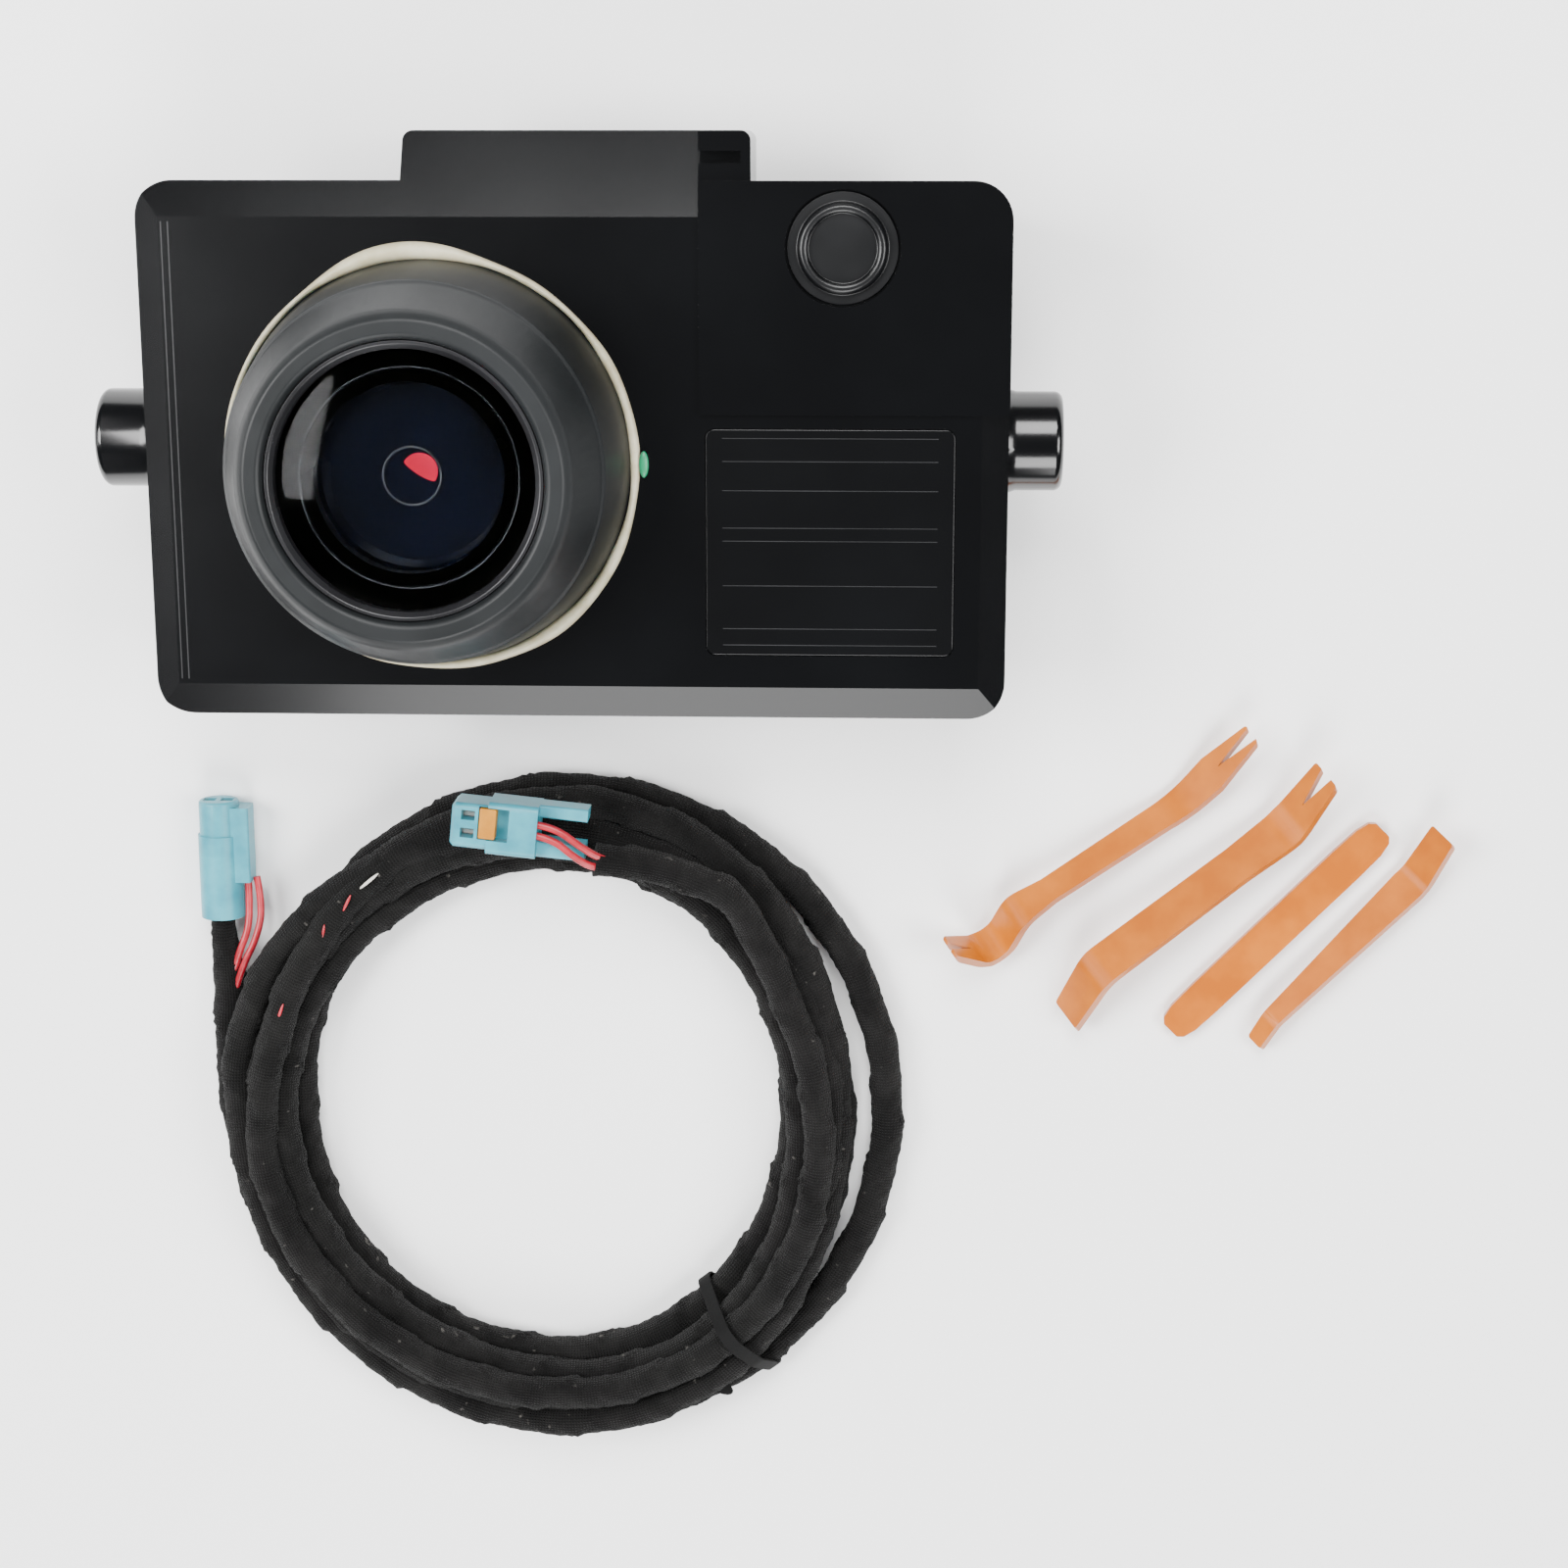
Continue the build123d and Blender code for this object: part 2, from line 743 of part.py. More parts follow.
def connector_a_housing():
    """A round plug with a block down its right side and an open tube at its end."""
    start = nose_length + collar_length
    nose = back_rod(0, nose_length, nose_radius)
    nose = fillet(nose.edges().group_by(Axis.X)[-1], 0.5)
    body = nose + back_rod(nose_length, collar_length + tail_length, tail_radius)
    side = back_block(1, start - 1, side_block_width + 2, side_block_depth, 0.5)
    body += Pos(0, -tail_radius - side_block_width / 2 + 1.6, 0) * side
    body -= back_rod(start, tail_length + 0.02, tail_bore)
    for cell in plug_cells():
        body -= cell
    return plug_a_place() * body


def connector_b_housing():
    """A flat plug with two windows, a lock in its top and two rails behind."""
    start = nose_length + collar_length
    nose = back_block(0, nose_length, nose_width, nose_depth, 0.9)
    body = chamfer(nose.edges().group_by(Axis.X)[-1], 0.5)
    body += back_block(nose_length, collar_length, collar_width, collar_depth, 1.0)
    for side, width in ((-1, upper_rail_width), (1, lower_rail_width)):
        rail = back_block(start, rail_length, width, rail_height, 0.4)
        body += Pos(0, side * (collar_width - width) / 2, -0.6) * rail
    for cell in plug_cells():
        body -= cell
    for y in cell_places():
        window = Box(window_length, window_width, 6)
        body -= Pos(-1.5 - window_length / 2, y + lock_offset / 2, nose_depth / 2) * window
    return plug_b_place() * (body - lock_slot())


def lock_block():
    """The lock's body in the plug's own frame, in its forward place."""
    top = nose_depth / 2 + lock_proud
    return Pos(-nose_length, lock_offset, top - lock_depth / 2) * Box(lock_length, lock_width, lock_depth)


def lock_slot():
    """The slot that the lock slides back in, open at the top."""
    low = nose_depth / 2 + lock_proud - lock_depth - lock_gap
    length = lock_length + lock_travel + 2 * lock_gap
    high = collar_depth / 2 + 1
    slot = Box(length, lock_width + 2 * lock_gap, high - low)
    return Pos(-nose_length - lock_travel / 2, lock_offset, (low + high) / 2) * slot


def connector_b_lock():
    lock = lock_block()
    lock = fillet(lock.edges().filter_by(Axis.Z), 0.3)
    return plug_b_place() * lock


def plug_contacts(place):
    made = []
    for y in cell_places():
        size = cell_width - 2 * fit_gap
        sleeve = back_block(1.0, contact_length, size, size, 0.15)
        sleeve -= back_block(0.5, contact_length + 1, size - 2 * contact_wall, size - 2 * contact_wall, 0.1)
        made.append(place * Pos(0, y, 0) * sleeve)
    return made


def connector_a_contacts():
    return plug_contacts(plug_a_place())


def connector_b_contacts():
    return plug_contacts(plug_b_place())


def wire_run(place, route):
    world = [tuple((place * Pos(*point)).position) for point in route]
    return tube(world, wire_radius, corner_radii(world))


def connector_b_wires():
    """Two wires that leave between the rails, climb over the lower one and go into the cable."""
    start = nose_length + collar_length
    end_x, end_y, end_z = wires_end()
    made = []
    for side in (-1, 1):
        across = side * (wire_radius + fit_gap)
        made.append(wire_run(plug_b_place(), [
            (-start, across - 0.3, 2.65), (-start - 2.6, across - 0.3, 2.65), (-start - 8.0, across + 2.6, 2.85),
            (end_x - 3.5, end_y + across * 0.9 + 0.3, end_z + 0.6)]))
    return made


def connector_a_wires():
    """Two wires that leave under the side block and run down into the taped bundle."""
    start = nose_length + collar_length
    made = []
    for step in (0, 1):
        across = -tail_radius - wire_radius - 0.15 - step * (2 * wire_radius + 0.1)
        made.append(wire_run(plug_a_place(), [
            (-start - 0.1, across, 0.4), (-start - 3.0, across - 0.2, 0.2), (-start - 6.0, across + 0.1, 0),
            (-start - 10.5, across - 0.9, 0)]))
    return made


def tool_outline(half_widths):
    """Plan of a tool from pairs of distance along it and half width."""
    upper = list(half_widths)
    lower = [(x, -y) for x, y in reversed(upper)]
    return make_face(Polyline(*upper, *lower, close=True))


def end_point(start, length, angle):
    """The point at this length and angle from the start, in the tool's side view."""
    turn = math.radians(angle)
    return (start[0] + length * math.cos(turn), start[1] + length * math.sin(turn))


def tool(centre_line, radii, half_widths, notches, place, roll, pitch):
    """A bent strip cut to its plan, then rolled onto its edge and pitched so that both ends touch."""
    x, y, heading = place
    line = FilletPolyline(*centre_line, radius=radii) if radii else Line(*centre_line)
    widest = max(half for _, half in half_widths)
    solid = extrude(Plane.XZ * trace(line, tool_thickness), amount=widest, both=True)
    outline = tool_outline(half_widths)
    outline = fillet(outline.vertices(), 0.5)
    solid &= Pos(0, 0, -30) * extrude(outline, amount=60)
    for notch in notches:
        solid -= Pos(0, 0, -30) * extrude(make_face(Polyline(*notch, close=True)), amount=60)
    box = solid.bounding_box()
    solid = Rot(0, pitch, 0) * Rot(-roll, 0, 0) * Pos(-box.center().X, 0, 0) * solid
    lift = -solid.bounding_box().min.Z
    return Pos(x, y, lift + 0.02) * Rot(0, 0, heading) * solid


def pry_tool_hook():
    web = end_point((0, 0), 11.0, 231)
    curl = end_point(web, 12.5, 116)
    shaft = (hook_shaft, 0)
    tips = end_point(shaft, 17.0, 27)
    half = hook_width / 2
    widths = [(curl[0] + 0.2, half * 0.9), (web[0] - 1, half * 1.4), (0, half * 1.35), (6, half),
              (hook_shaft - 4, half * 1.1), (hook_shaft + 6, half * 1.4), (tips[0] - 1, half * 0.8)]
    notches = [[(tips[0] + 1, 1.5), (tips[0] + 1, -1.5), (tips[0] - 8.0, 0)],
               [(curl[0] - 1, 0.9), (curl[0] - 1, -0.9), (curl[0] + 3.4, 0)]]
    line = [curl, web, (0, 0), shaft, tips]
    return tool(line, [3.6, 4.0, 14.0], widths, notches, hook_tool_place, tool_roll, 8.0)


def pry_tool_fork():
    flat = end_point((0, 0), 12.4, 225)
    shaft = (fork_shaft, 0)
    tips = end_point(shaft, 12.5, 38)
    half = fork_width / 2
    widths = [(flat[0] + 0.4, half * 0.86), (0, half), (fork_shaft - 10, half * 0.92),
              (fork_shaft, half * 1.05), (tips[0] - 0.8, half * 0.8)]
    notches = [[(tips[0] + 1, 1.6), (tips[0] + 1, -1.6), (tips[0] - 6.4, 0)]]
    line = [flat, (0, 0), shaft, tips]
    return tool(line, [5.0, 8.0], widths, notches, fork_tool_place, tool_roll, 7.0)


def pry_tool_paddle():
    half = paddle_width / 2
    end = paddle_length
    rounding = [(0.2, half * 0.5), (1.0, half * 0.78), (3.2, half * 0.95), (8, half)]
    widths = rounding + [(end - x, y) for x, y in reversed(rounding)]
    return tool([(0, 0), (end, 0)], [], widths, [], paddle_tool_place, 6.0, 0.0)


def pry_tool_wedge():
    flat = end_point((0, 0), 6.0, 208)
    shaft = (wedge_shaft, 0)
    head = end_point(shaft, 9.5, 32)
    half = wedge_width / 2
    widths = [(flat[0] + 0.4, half * 0.52), (0, half * 0.56), (wedge_shaft - 2, half),
              (head[0] - 0.4, half * 0.84)]
    return tool([flat, (0, 0), shaft, head], [3.0, 4.0], widths, [], wedge_tool_place, tool_roll, 2.6)


def lens_spacer():
    return held_ring(stacked_levels()[0], spacer_height, bore_radius - spacer_wall)


def inner_lens():
    return bulged_lens(stacked_levels()[1], inner_lens_thickness, bore_radius - fit_gap)


def aperture_stop():
    return held_ring(stacked_levels()[2], stop_thickness, stop_hole)


def rear_spacer():
    return held_ring(stacked_levels()[3], rear_spacer_height, bore_radius - spacer_wall)


def rear_lens():
    return bulged_lens(stacked_levels()[4], rear_lens_thickness, bore_radius - fit_gap)


def rear_cover_seal():
    return seal_solid(0)


pieces = [
    front_housing, rear_cover, rear_cover_seal, cover_screws, threaded_inserts, lens_barrel, lens_seal_ring,
    front_glass, lens_retaining_ring, lens_spacer, inner_lens, aperture_stop, rear_spacer, rear_lens, lens_holder,
    infrared_filter, image_sensor, sensor_board, main_board, board_spacers, board_screws, board_link,
    processor_chip, shield_can, capacitors, socket_shell, socket_seal, socket_contacts, label_plate,
    light_sensor_cap, light_sensor_element, harness_coil, harness_tail_a, harness_tail_b, coil_tie,
    connector_a_housing, connector_a_contacts, connector_a_wires, connector_b_housing, connector_b_lock,
    connector_b_contacts, connector_b_wires, pry_tool_hook, pry_tool_fork, pry_tool_paddle, pry_tool_wedge]

for piece in pieces:
    made = piece()
    if isinstance(made, (list, ShapeList)):
        made = Compound(children=[solid for item in made for solid in item.solids()])
    export_step(made, "parts/" + piece.__name__ + ".step")
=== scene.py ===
import bpy
import bmesh
import json
import math
import random
from mathutils import Matrix, Vector


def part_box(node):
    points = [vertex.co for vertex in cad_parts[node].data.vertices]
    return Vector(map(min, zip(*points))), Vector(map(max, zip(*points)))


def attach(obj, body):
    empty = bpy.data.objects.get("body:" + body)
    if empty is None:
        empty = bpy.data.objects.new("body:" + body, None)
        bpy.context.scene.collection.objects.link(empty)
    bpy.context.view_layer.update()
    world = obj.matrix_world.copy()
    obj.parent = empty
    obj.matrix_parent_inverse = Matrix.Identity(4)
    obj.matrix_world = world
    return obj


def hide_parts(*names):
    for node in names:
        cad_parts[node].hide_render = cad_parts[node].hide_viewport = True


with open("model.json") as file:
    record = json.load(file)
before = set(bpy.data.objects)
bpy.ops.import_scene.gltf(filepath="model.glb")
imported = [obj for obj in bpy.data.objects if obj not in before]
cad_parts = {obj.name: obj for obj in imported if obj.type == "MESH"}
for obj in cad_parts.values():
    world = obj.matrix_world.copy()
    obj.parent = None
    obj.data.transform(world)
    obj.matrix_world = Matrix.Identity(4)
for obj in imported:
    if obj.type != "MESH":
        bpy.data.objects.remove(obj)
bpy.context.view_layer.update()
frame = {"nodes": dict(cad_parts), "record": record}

random.seed(17)
mm = 0.001  # sizes of pieces are in millimetres, lights and the floor in metres


def corners(node):
    low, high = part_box(node)
    return Vector(low), Vector(high)


print("stage: camera, floor and light")
shot = {
    "eye": (47.0, 46.0, 440.0),
    "aim": (29.0, -56.0, 0.0),
    "floorScale": 6.4,  # parts of the frame's width per millimetre at the aim point
    "frameParts": 1600,
    "sensor": 36.0,
    "clipStart": 0.01,
}


def makeCamera(shot):
    eye = Vector(shot["eye"]) * mm
    aim = Vector(shot["aim"]) * mm
    view = (aim - eye).normalized()
    right = view.cross(Vector((0, 1, 0))).normalized()
    up = right.cross(view)
    turn = Matrix((right, up, -view)).transposed()
    data = bpy.data.cameras.new("kitCamera")
    data.sensor_width = shot["sensor"]
    data.lens = shot["floorScale"] * (aim - eye).length / mm * shot["sensor"] / shot["frameParts"]
    data.clip_start = shot["clipStart"]
    camera = bpy.data.objects.new("kitCamera", data)
    camera.matrix_world = Matrix.Translation(eye) @ turn.to_4x4()
    bpy.context.scene.collection.objects.link(camera)
    bpy.context.scene.camera = camera


lightPlan = {
    "leftBox": {"place": (-0.62, 0.10, 0.80), "size": 0.50, "power": 17.0},
    "rightBox": {"place": (0.72, -0.06, 0.80), "size": 0.50, "power": 12.0},
    "backBox": {"place": (0.02, 0.62, 0.84), "size": 0.50, "power": 15.0},
    "frontBox": {"place": (0.05, -0.80, 0.80), "size": 0.50, "power": 12.0},
    "leftStrip": {"place": (-0.95, 0.00, 0.40), "size": 0.40, "power": 2.2},
    "frontStrip": {"place": (-0.05, -1.05, 0.42), "size": 0.40, "power": 2.6},
}
worldLook = {"colour": (0.95, 0.97, 1.0, 1), "strength": 0.14}
floorLook = {"size": 4.0, "colour": (0.93, 0.93, 0.93, 1), "rough": 0.7, "drop": 0.0001}


def makeLights(plan):
    aim = Vector(shot["aim"]) * mm
    for name, lamp in plan.items():
        data = bpy.data.lights.new(name, "AREA")
        data.energy = lamp["power"]
        data.size = lamp["size"]
        holder = bpy.data.objects.new(name, data)
        holder.location = lamp["place"]
        holder.rotation_euler = (aim - Vector(lamp["place"])).to_track_quat("-Z", "Y").to_euler()
        bpy.context.scene.collection.objects.link(holder)
    world = bpy.data.worlds.new("studio")
    bpy.context.scene.world = world
    world.use_nodes = True
    back = world.node_tree.nodes["Background"]
    back.inputs["Color"].default_value = worldLook["colour"]
    back.inputs["Strength"].default_value = worldLook["strength"]


def makeFloor(look):
    bpy.ops.mesh.primitive_plane_add(size=look["size"], location=(0, 0, -look["drop"]))
    floor = bpy.context.active_object
    floor.name = "floor"
    bpy.ops.object.transform_apply(location=True, rotation=True, scale=True)
    paint = bpy.data.materials.new("paleFloor")
    paint.use_nodes = True
    shader = paint.node_tree.nodes["Principled BSDF"]
    shader.inputs["Base Color"].default_value = look["colour"]
    shader.inputs["Roughness"].default_value = look["rough"]
    floor.data.materials.append(paint)


makeCamera(shot)
makeLights(lightPlan)
makeFloor(floorLook)

print("stage: materials")


def newLook(name):
    look = bpy.data.materials.new(name)
    look.use_nodes = True
    nodes = look.node_tree.nodes
    return look, nodes, look.node_tree.links, nodes["Principled BSDF"]


def objectSpace(nodes):
    return nodes.new("ShaderNodeTexCoord").outputs["Object"]


def noiseNode(nodes, links, coords, scale, detail=4.0, rough=0.55):
    noise = nodes.new("ShaderNodeTexNoise")
    noise.inputs["Scale"].default_value = scale
    noise.inputs["Detail"].default_value = detail
    noise.inputs["Roughness"].default_value = rough
    links.new(coords, noise.inputs["Vector"])
    return noise.outputs["Fac"]


def spread(nodes, links, source, low, high, fromLow=0.3, fromHigh=0.7):
    part = nodes.new("ShaderNodeMapRange")
    part.inputs["From Min"].default_value = fromLow
    part.inputs["From Max"].default_value = fromHigh
    part.inputs["To Min"].default_value = low
    part.inputs["To Max"].default_value = high
    links.new(source, part.inputs["Value"])
    return part.outputs["Result"]


def twoTones(nodes, links, source, first, second):
    ramp = nodes.new("ShaderNodeValToRGB")
    ramp.color_ramp.elements[0].position = 0.35
    ramp.color_ramp.elements[1].position = 0.65
    ramp.color_ramp.elements[0].color = (*first, 1)
    ramp.color_ramp.elements[1].color = (*second, 1)
    links.new(source, ramp.inputs["Fac"])
    return ramp.outputs["Color"]


def bump(nodes, links, height, strength, distance):
    node = nodes.new("ShaderNodeBump")
    node.inputs["Strength"].default_value = strength
    node.inputs["Distance"].default_value = distance
    links.new(height, node.inputs["Height"])
    return node.outputs["Normal"]


def moulded(name, look):
    made, nodes, links, shader = newLook(name)
    space = objectSpace(nodes)
    broad = noiseNode(nodes, links, space, look.get("patch", 60.0), 3.0)
    grain = noiseNode(nodes, links, space, look.get("grain", 2400.0), 2.0)
    links.new(twoTones(nodes, links, broad, look["dark"], look["light"]), shader.inputs["Base Color"])
    rough = look["rough"]
    sway = look.get("sway", 0.04)
    links.new(spread(nodes, links, broad, rough - sway, rough + sway), shader.inputs["Roughness"])
    relief = bump(nodes, links, grain, look.get("bump", 0.12), look.get("bumpDepth", 0.00005))
    links.new(relief, shader.inputs["Normal"])
    for socket, value in look.get("fixed", {}).items():
        shader.inputs[socket].default_value = value
    return made


plasticLooks = {
    "housing_black": {"dark": (0.0008, 0.0009, 0.0012), "light": (0.001, 0.0012, 0.0016), "rough": 0.19,
                      "patch": 40, "sway": 0.01, "bump": 0.05,
                      "fixed": {"Specular IOR Level": 0.45, "Coat Weight": 0.15, "Coat Roughness": 0.1}},
    "barrel_black": {"dark": (0.007, 0.008, 0.0085), "light": (0.010, 0.0112, 0.012), "rough": 0.42,
                     "bump": 0.12,
                     "fixed": {"Specular IOR Level": 0.22}},
    "ring_black": {"dark": (0.010, 0.010, 0.011), "light": (0.016, 0.016, 0.018), "rough": 0.28,
                   "fixed": {"Metallic": 0.3}},
    "holder_black": {"dark": (0.02, 0.02, 0.02), "light": (0.03, 0.03, 0.03), "rough": 0.6},
    "cap_black": {"dark": (0.001, 0.0012, 0.0016), "light": (0.0016, 0.0018, 0.0024), "rough": 0.34,
                  "fixed": {"Specular IOR Level": 0.4}},
    "socket_black": {"dark": (0.018, 0.018, 0.018), "light": (0.028, 0.028, 0.028), "rough": 0.5},
    "label_black": {"dark": (0.0008, 0.0009, 0.0012), "light": (0.001, 0.0012, 0.0016), "rough": 0.21,
                    "patch": 40, "sway": 0.01, "bump": 0.06},
    "rule_grey": {"dark": (0.003, 0.0033, 0.004), "light": (0.007, 0.0075, 0.009), "rough": 0.4},
    # painted reflection: this red stands in for the lens coating's reflection and is laid on a flat crescent
    # over the pupil
    "painted_coating_reflection": {"dark": (0.30, 0.0, 0.012), "light": (0.45, 0.002, 0.03), "rough": 0.2,
                  "fixed": {"Coat Weight": 0.8, "Coat Roughness": 0.05}},
    "pale_backing": {"dark": (0.50, 0.48, 0.42), "light": (0.62, 0.60, 0.54), "rough": 0.6},
    "cream_sealant": {"dark": (0.46, 0.38, 0.24), "light": (0.60, 0.52, 0.36), "rough": 0.45, "patch": 260,
                      "grain": 900, "bump": 0.3, "bumpDepth": 0.00012, "fixed": {"Subsurface Weight": 0.15}},
    "inspection_green": {"dark": (0.004, 0.17, 0.07), "light": (0.008, 0.25, 0.11), "rough": 0.35,
                         "grain": 800},
    "seal_rubber": {"dark": (0.02, 0.02, 0.02), "light": (0.03, 0.03, 0.03), "rough": 0.7},
    "board_green": {"dark": (0.012, 0.09, 0.035), "light": (0.018, 0.13, 0.05), "rough": 0.35,
                    "fixed": {"Coat Weight": 0.4}},
    "chip_black": {"dark": (0.012, 0.012, 0.012), "light": (0.02, 0.02, 0.02), "rough": 0.5},
    "flex_link": {"dark": (0.45, 0.2, 0.04), "light": (0.55, 0.26, 0.06), "rough": 0.35},
    "plug_teal": {"dark": (0.025, 0.21, 0.27), "light": (0.045, 0.29, 0.36), "rough": 0.38, "patch": 220,
                  "fixed": {"Subsurface Weight": 0.06}},
    "lock_orange": {"dark": (0.40, 0.15, 0.002), "light": (0.50, 0.20, 0.004), "rough": 0.4, "patch": 300},
    "wire_red": {"dark": (0.27, 0.006, 0.014), "light": (0.40, 0.012, 0.026), "rough": 0.35, "patch": 500},
    "tool_orange": {"dark": (0.37, 0.088, 0.0), "light": (0.45, 0.118, 0.0), "rough": 0.34, "patch": 140,
                    "fixed": {"Specular IOR Level": 0.35, "Coat Weight": 0.1, "Coat Roughness": 0.15}},
    "tie_black": {"dark": (0.002, 0.002, 0.002), "light": (0.004, 0.004, 0.004), "rough": 0.8, "grain": 1500,
                  "bump": 0.4, "fixed": {"Specular IOR Level": 0.15}},
}
metalLooks = {
    "screw_steel": {"dark": (0.42, 0.42, 0.44), "light": (0.6, 0.6, 0.62), "rough": 0.32},
    "brass": {"dark": (0.62, 0.42, 0.16), "light": (0.76, 0.54, 0.24), "rough": 0.3},
    "shield_metal": {"dark": (0.55, 0.55, 0.56), "light": (0.7, 0.7, 0.7), "rough": 0.35},
    "capacitor_can": {"dark": (0.62, 0.62, 0.64), "light": (0.78, 0.78, 0.8), "rough": 0.28},
    "contact_metal": {"dark": (0.60, 0.58, 0.54), "light": (0.82, 0.80, 0.76), "rough": 0.22},
}
looks = {name: moulded(name, look) for name, look in plasticLooks.items()}
for name, look in metalLooks.items():
    look["fixed"] = {"Metallic": 1.0}
    looks[name] = moulded(name, look)


def coatedGlass(name, look):
    made, nodes, links, shader = newLook(name)
    space = objectSpace(nodes)
    broad = noiseNode(nodes, links, space, 40.0)
    links.new(twoTones(nodes, links, broad, look["dark"], look["light"]), shader.inputs["Base Color"])
    links.new(spread(nodes, links, broad, 0.03, 0.06), shader.inputs["Roughness"])
    for socket, value in look["fixed"].items():
        shader.inputs[socket].default_value = value
    return made


glassLooks = {
    "lens_glass": {"dark": (0.0006, 0.0009, 0.002), "light": (0.001, 0.002, 0.006),
                   "fixed": {"Specular IOR Level": 0.3, "Coat Weight": 0.15, "Coat Roughness": 0.02}},
    "clear_glass": {"dark": (0.90, 0.94, 1.0), "light": (0.94, 0.97, 1.0),
                    "fixed": {"Transmission Weight": 1.0, "IOR": 1.16, "Specular IOR Level": 0.3}},
    "filter_glass": {"dark": (0.12, 0.3, 0.32), "light": (0.16, 0.4, 0.42), "fixed": {"Coat Weight": 1.0}},
    "sensor_chip": {"dark": (0.02, 0.03, 0.05), "light": (0.04, 0.05, 0.08), "fixed": {"Coat Weight": 1.0}},
}
for name, look in glassLooks.items():
    looks[name] = coatedGlass(name, look)

tapeLook = {
    "dark": (0.0018, 0.0017, 0.0016),
    "light": (0.0070, 0.0067, 0.0064),
    "lint": (0.07, 0.066, 0.06),
    "lintFrom": (0.72, 0.80),
    "thread": 0.5,  # millimetres from one thread to the next
    "threadScale": 0.32,
    "rough": (0.78, 0.95),
    "bump": 0.9,
    "bumpDepth": 0.00030,
    "fixed": {"Sheen Weight": 0.03, "Sheen Roughness": 0.5, "Specular IOR Level": 0.12},
}


def clothTape(look):
    made, nodes, links, shader = newLook("cloth_tape")
    wrap = nodes.new("ShaderNodeUVMap")
    wrap.uv_map = "wrap"
    space = objectSpace(nodes)
    threads = []
    for across in ("X", "Y"):
        wave = nodes.new("ShaderNodeTexWave")
        wave.bands_direction = across
        wave.inputs["Scale"].default_value = look["threadScale"] / look["thread"]
        wave.inputs["Distortion"].default_value = 1.2
        wave.inputs["Detail"].default_value = 1.0
        links.new(wrap.outputs["UV"], wave.inputs["Vector"])
        threads.append(wave.outputs["Fac"])
    weave = nodes.new("ShaderNodeMath")
    weave.operation = "MULTIPLY"
    links.new(threads[0], weave.inputs[0])
    links.new(threads[1], weave.inputs[1])
    fuzz = noiseNode(nodes, links, space, 900.0, 6.0, 0.7)
    patch = noiseNode(nodes, links, space, 130.0, 4.0)
    both = nodes.new("ShaderNodeMath")
    both.operation = "ADD"
    links.new(weave.outputs[0], both.inputs[0])
    links.new(fuzz, both.inputs[1])
    base = twoTones(nodes, links, patch, look["dark"], look["light"])
    lint = noiseNode(nodes, links, space, 620.0, 2.0, 0.4)
    specks = spread(nodes, links, lint, 0.0, 1.0, *look["lintFrom"])
    mix = nodes.new("ShaderNodeMix")
    mix.data_type = "RGBA"
    links.new(specks, mix.inputs["Factor"])
    links.new(base, mix.inputs[6])
    mix.inputs[7].default_value = (*look["lint"], 1)
    links.new(mix.outputs[2], shader.inputs["Base Color"])
    links.new(spread(nodes, links, fuzz, *look["rough"]), shader.inputs["Roughness"])
    relief = bump(nodes, links, both.outputs[0], look["bump"], look["bumpDepth"])
    links.new(relief, shader.inputs["Normal"])
    for socket, value in look["fixed"].items():
        shader.inputs[socket].default_value = value
    return made


looks["cloth_tape"] = clothTape(tapeLook)
slotOf = {part["node"]: part["material_slot"] for part in frame["record"]["subparts"]}
for node, piece in frame["nodes"].items():
    piece.data.materials.clear()
    piece.data.materials.append(looks[slotOf[node]])
frontGlass = frame["nodes"]["front_glass"]
frontGlass.data.materials.clear()
frontGlass.data.materials.append(looks["clear_glass"])

print("stage: rounded edges")


def selectOnly(piece):
    bpy.ops.object.select_all(action="DESELECT")
    piece.select_set(True)
    bpy.context.view_layer.objects.active = piece


edgePlan = {
    "steps": 2,
    "sharpAngle": 28,
    "smoothAngle": 34,
    "newPieceAngle": 40,
    "flatAngle": 0.6,
    "merge": 0.000004,  # metres
    "weight": 80,
}


def rounded(node, width, body):
    source = frame["nodes"][node]
    piece = source.copy()
    piece.data = source.data.copy()
    for key in list(piece.keys()):
        del piece[key]
    piece.parent = None
    piece.name = node + "_finished"
    bpy.context.scene.collection.objects.link(piece)
    selectOnly(piece)
    bpy.ops.object.mode_set(mode="EDIT")
    bpy.ops.mesh.select_all(action="SELECT")
    bpy.ops.mesh.remove_doubles(threshold=edgePlan["merge"])
    bpy.ops.mesh.dissolve_limited(angle_limit=math.radians(edgePlan["flatAngle"]))
    bpy.ops.object.mode_set(mode="OBJECT")
    edge = piece.modifiers.new("edge", "BEVEL")
    edge.width = width * mm
    edge.segments = edgePlan["steps"]
    edge.limit_method = "ANGLE"
    edge.angle_limit = math.radians(edgePlan["sharpAngle"])
    edge.use_clamp_overlap = True
    edge.miter_outer = "MITER_ARC"
    bpy.ops.object.modifier_apply(modifier="edge")
    bpy.ops.object.shade_smooth_by_angle(angle=math.radians(edgePlan["smoothAngle"]))
    weights = piece.modifiers.new("weights", "WEIGHTED_NORMAL")
    weights.keep_sharp = True
    weights.weight = edgePlan["weight"]
    bpy.ops.object.modifier_apply(modifier="weights")
    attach(piece, body)
    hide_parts(node)
    return piece


